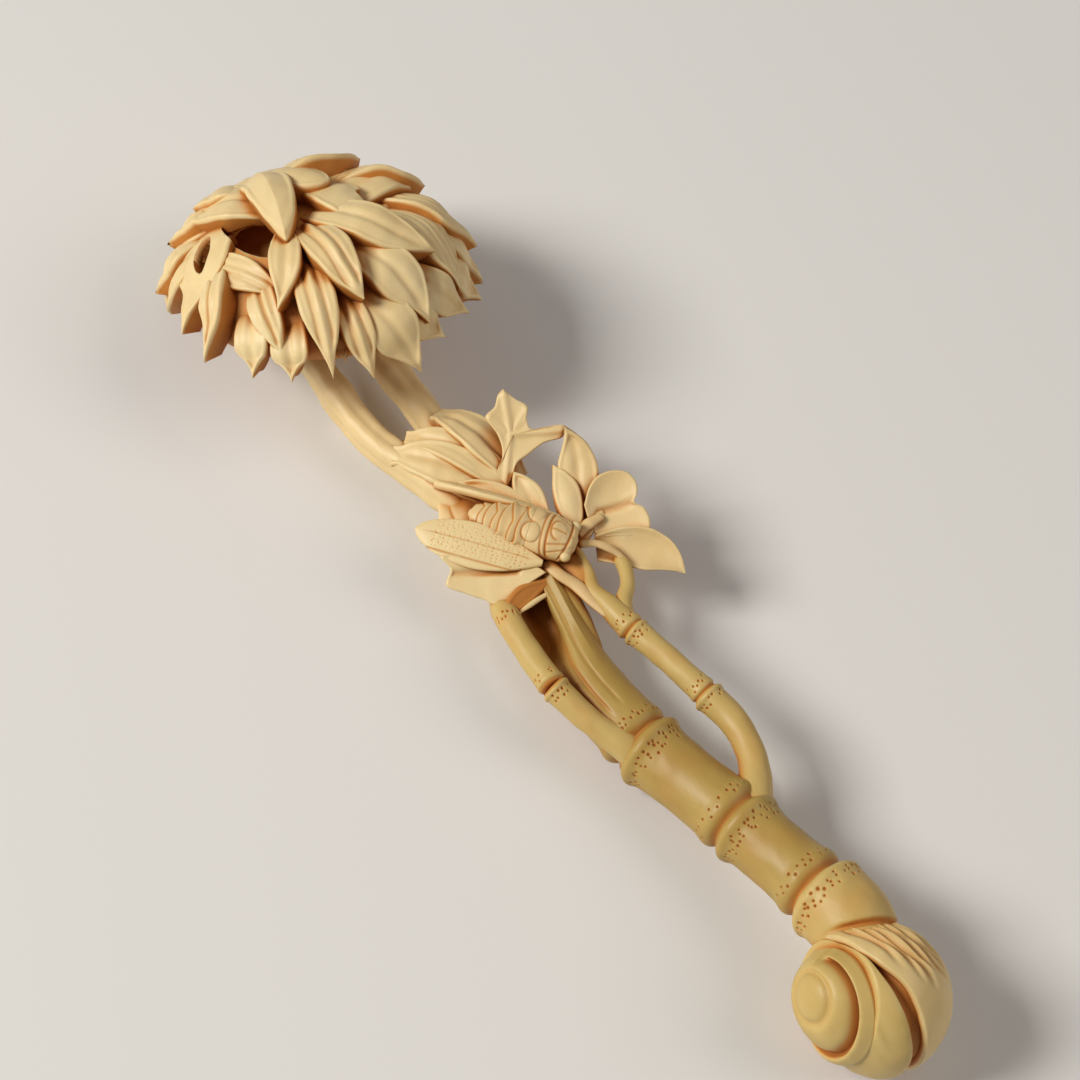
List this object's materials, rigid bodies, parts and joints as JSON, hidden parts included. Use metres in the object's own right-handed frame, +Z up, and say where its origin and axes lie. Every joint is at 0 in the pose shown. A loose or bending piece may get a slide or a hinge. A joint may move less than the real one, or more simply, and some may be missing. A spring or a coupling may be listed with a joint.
{
  "type": "carved ruyi scepter",
  "caption": "Small carved boxwood ruyi scepter: a pierced domed head of layered leaves on two stalks, a leaf spray with a cicada, branches, and a jointed bamboo culm ending in a snail knob.",
  "frame": {"origin": "centre of the bounding box, on the plane that the scepter rests on", "axes": "+X along the scepter from the leafy head to the snail knob, +Z up from the resting plane to the cicada's side, +Y completes the right-handed frame"},
  "size_m": [0.168, 0.0462, 0.0304],
  "materials": {
    "boxwood": "satin"
  },
  "bodies": {
    "root": {"cicada_abdomen": "boxwood", "cicada_head": "boxwood", "cicada_leg_front": "boxwood", "cicada_leg_hind": "boxwood", "cicada_leg_middle": "boxwood", "cicada_thorax": "boxwood", "cicada_wing_far": "boxwood", "cicada_wing_near": "boxwood", "culm_collar": "boxwood", "culm_lower": "boxwood", "culm_upper": "boxwood", "head_core": "boxwood", "head_leaf_broad": "boxwood", "head_leaf_crown": "boxwood", "head_leaf_far_end": "boxwood", "head_leaf_far_left": "boxwood", "head_leaf_far_middle": "boxwood", "head_leaf_far_right": "boxwood", "head_leaf_flap": "boxwood", "head_leaf_folded": "boxwood", "head_leaf_front": "boxwood", "head_leaf_left_broad": "boxwood", "head_leaf_left_edge": "boxwood", "head_leaf_left_point": "boxwood", "head_leaf_left_rib": "boxwood", "head_leaf_left_top": "boxwood", "head_leaf_low_point": "boxwood", "head_leaf_middle": "boxwood", "head_leaf_near_rim": "boxwood", "head_leaf_near_slim": "boxwood", "head_leaf_right_long": "boxwood", "head_leaf_right_low": "boxwood", "head_leaf_right_outer": "boxwood", "head_leaf_right_rim": "boxwood", "head_leaf_right_tip": "boxwood", "head_leaf_strap": "boxwood", "knob_body": "boxwood", "knob_sheath": "boxwood", "knob_spire": "boxwood", "left_branch_lower": "boxwood", "left_branch_upper": "boxwood", "right_branch_lower": "boxwood", "right_branch_middle": "boxwood", "right_branch_upper": "boxwood", "right_twig": "boxwood", "round_leaf": "boxwood", "split_culm": "boxwood", "spray_core": "boxwood", "spray_leaf_bud": "boxwood", "spray_leaf_inner": "boxwood", "spray_leaf_lower": "boxwood", "spray_leaf_middle": "boxwood", "spray_leaf_sweep": "boxwood", "spray_leaf_tall": "boxwood", "spray_leaf_thin": "boxwood", "spray_leaf_under": "boxwood", "spray_leaf_upper": "boxwood", "stalk_left": "boxwood", "stalk_right": "boxwood", "star_leaf": "boxwood"}
  },
  "joints": []
}
